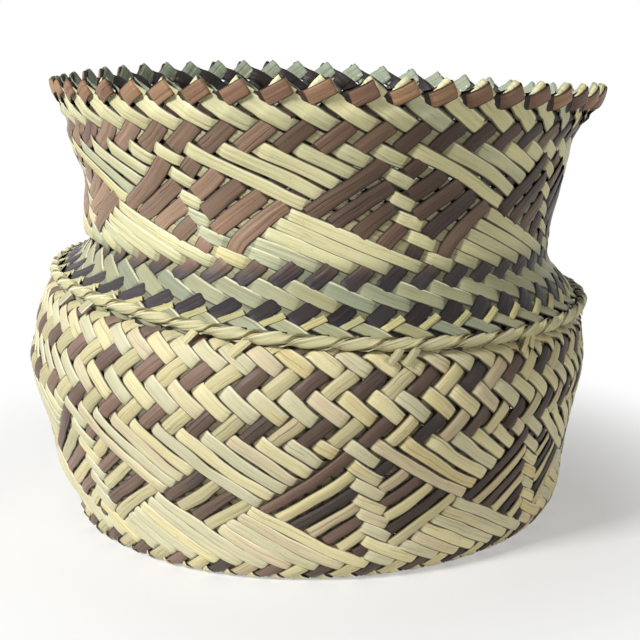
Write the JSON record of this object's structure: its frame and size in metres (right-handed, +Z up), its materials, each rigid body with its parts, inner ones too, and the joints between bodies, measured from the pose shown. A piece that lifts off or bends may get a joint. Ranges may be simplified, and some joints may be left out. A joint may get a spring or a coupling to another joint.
{
  "type": "woven leaf basket",
  "caption": "Round plaited leaf basket with a bulging body, a narrow neck, a wide flared collar with a sawtooth rim and a twisted border over the shoulder.",
  "frame": {"origin": "centre of the flat bottom, on the surface the basket stands on", "axes": "+Z up out of the mouth; +X to the right and +Y away from the viewer when the side in the picture is seen. The border slopes down to +X."},
  "size_m": [0.272, 0.2664, 0.2056],
  "materials": {
    "base_leaf": "dry plaited leaf, matt, natural greenish straw",
    "body_leaf": "dry plaited leaf, cream and pale green strips crossed by brown ones",
    "lining_leaf": "dry plaited leaf, pale green and brown strips, matt",
    "cover_leaf": "dry plaited leaf, pale yellow strips crossed by dark red-brown ones, soft sheen",
    "rim_leaf": "folded dry leaf, red-brown over pale yellow",
    "tab_leaf": "folded ends of dry leaf, pale green to straw",
    "border_leaf": "twisted dry leaf, straw yellow, soft sheen"
  },
  "bodies": {
    "root": {"base_mat": "base_leaf", "body_wall": "body_leaf", "neck_lining": "lining_leaf", "neck_cover": "cover_leaf", "rim_fold": "rim_leaf", "tab_course": "tab_leaf", "border_strand_a": "border_leaf", "border_strand_b": "border_leaf"}
  },
  "joints": []
}
